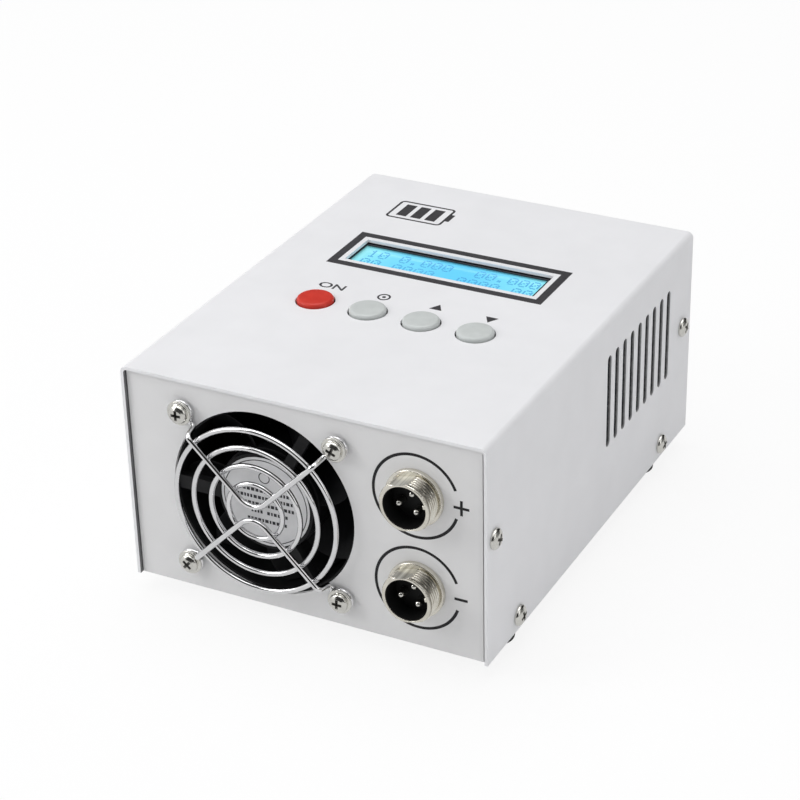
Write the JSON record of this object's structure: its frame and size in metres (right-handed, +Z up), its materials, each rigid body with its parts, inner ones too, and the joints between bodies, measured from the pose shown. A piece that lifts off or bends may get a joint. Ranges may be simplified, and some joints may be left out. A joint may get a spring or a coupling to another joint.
{
  "type": "battery capacity tester",
  "caption": "Bench battery capacity tester: folded white metal case with a wire-guarded front fan, round threaded test sockets, a lit text display and push keys.",
  "frame": {"origin": "on the surface that the feet stand on, under the middle of the whole object", "axes": "+Z up; -Y is the front, with the fan and the sockets; +X is to the right seen from the front; the display and keys face +Z"},
  "size_m": [0.1196, 0.1616, 0.0774],
  "materials": {
    "cover_paint": "satin powder coat",
    "chassis_paint": "satin powder coat",
    "nickel_screw": "nickel plated",
    "foot_rubber": "matte",
    "fan_plastic": "fine moulded texture",
    "bearing_bronze": "oiled sintered bronze",
    "circuit_green": "solder mask",
    "core_steel": "stamped laminations",
    "copper": "enamelled copper",
    "hub_label": "silvered film",
    "shaft_steel": "ground",
    "magnet_ferrite": "bonded ferrite",
    "guard_wire": "bright plated wire",
    "socket_nickel": "nickel plated, turned",
    "socket_black": "moulded",
    "pin_nickel": "nickel plated",
    "bezel_black": "black enamel",
    "display_cell": "lit, faintly blue",
    "backlight_white": "diffusing",
    "switch_black": "moulded",
    "dome_steel": "spring steel",
    "red_key": "smooth",
    "grey_key": "smooth",
    "stem_plastic": "moulded",
    "spacer_metal": "turned",
    "sink_aluminium": "extruded",
    "pad_silicone": "soft",
    "package_black": "epoxy",
    "can_sleeve": "shrunk sleeve",
    "core_powder": "coated powder core",
    "shunt_alloy": "drawn wire",
    "relay_blue": "moulded",
    "shell_steel": "stamped",
    "inlet_black": "moulded"
  },
  "bodies": {
    "case": {"top_cover": "cover_paint", "chassis": "chassis_paint", "cover_screws": "nickel_screw", "rubber_feet": "foot_rubber", "foot_screws": "nickel_screw", "fan_frame": "fan_plastic", "fan_bearing": "bearing_bronze", "fan_circuit": "circuit_green", "fan_stator": "core_steel", "fan_windings": "copper", "fan_label": "hub_label", "fan_guard": "guard_wire", "fan_screws": "nickel_screw", "fan_nuts": "nickel_screw", "positive_socket_shell": "socket_nickel", "positive_socket_insert": "socket_black", "positive_socket_pins": "pin_nickel", "negative_socket_shell": "socket_nickel", "negative_socket_insert": "socket_black", "negative_socket_pins": "pin_nickel", "socket_nuts": "nickel_screw", "display_bezel": "bezel_black", "display_glass": "display_cell", "display_backlight": "backlight_white", "display_board": "circuit_green", "key_board": "circuit_green", "key_switches": "switch_black", "contact_domes": "dome_steel", "cover_studs": "spacer_metal", "stud_screws": "nickel_screw", "main_board": "circuit_green", "board_standoffs": "spacer_metal", "inner_screws": "nickel_screw", "heatsink": "sink_aluminium", "thermal_pads": "pad_silicone", "power_transistors": "package_black", "capacitors": "can_sleeve", "inductor_core": "core_powder", "inductor_turns": "copper", "current_shunt": "shunt_alloy", "relay": "relay_blue", "control_chip": "package_black", "data_socket": "shell_steel", "power_inlet": "inlet_black", "inlet_pin": "pin_nickel", "inlet_nut": "nickel_screw"},
    "fan_rotor": {"fan_impeller": "fan_plastic", "fan_shaft": "shaft_steel", "rotor_yoke": "core_steel", "rotor_magnet": "magnet_ferrite"},
    "on_key": {"on_button": "red_key", "on_plunger": "stem_plastic"},
    "set_key": {"set_button": "grey_key", "set_plunger": "stem_plastic"},
    "up_key": {"up_button": "grey_key", "up_plunger": "stem_plastic"},
    "down_key": {"down_button": "grey_key", "down_plunger": "stem_plastic"}
  },
  "joints": [
    {"name": "fan_spin", "type": "hinge", "parent": "case", "child": "fan_rotor", "pos_m": [-0.0134, -0.0592, 0.0405], "axis": [0, 1, 0], "continuous": true},
    {"name": "on_press", "type": "slide", "parent": "case", "child": "on_key", "axis": [0, 0, -1], "range_m": [0, 0.0003], "stiffness_N_per_m": 1500, "springref_m": -0.0005},
    {"name": "set_press", "type": "slide", "parent": "case", "child": "set_key", "axis": [0, 0, -1], "range_m": [0, 0.0003], "stiffness_N_per_m": 1500, "springref_m": -0.0005},
    {"name": "up_press", "type": "slide", "parent": "case", "child": "up_key", "axis": [0, 0, -1], "range_m": [0, 0.0003], "stiffness_N_per_m": 1500, "springref_m": -0.0005},
    {"name": "down_press", "type": "slide", "parent": "case", "child": "down_key", "axis": [0, 0, -1], "range_m": [0, 0.0003], "stiffness_N_per_m": 1500, "springref_m": -0.0005}
  ]
}
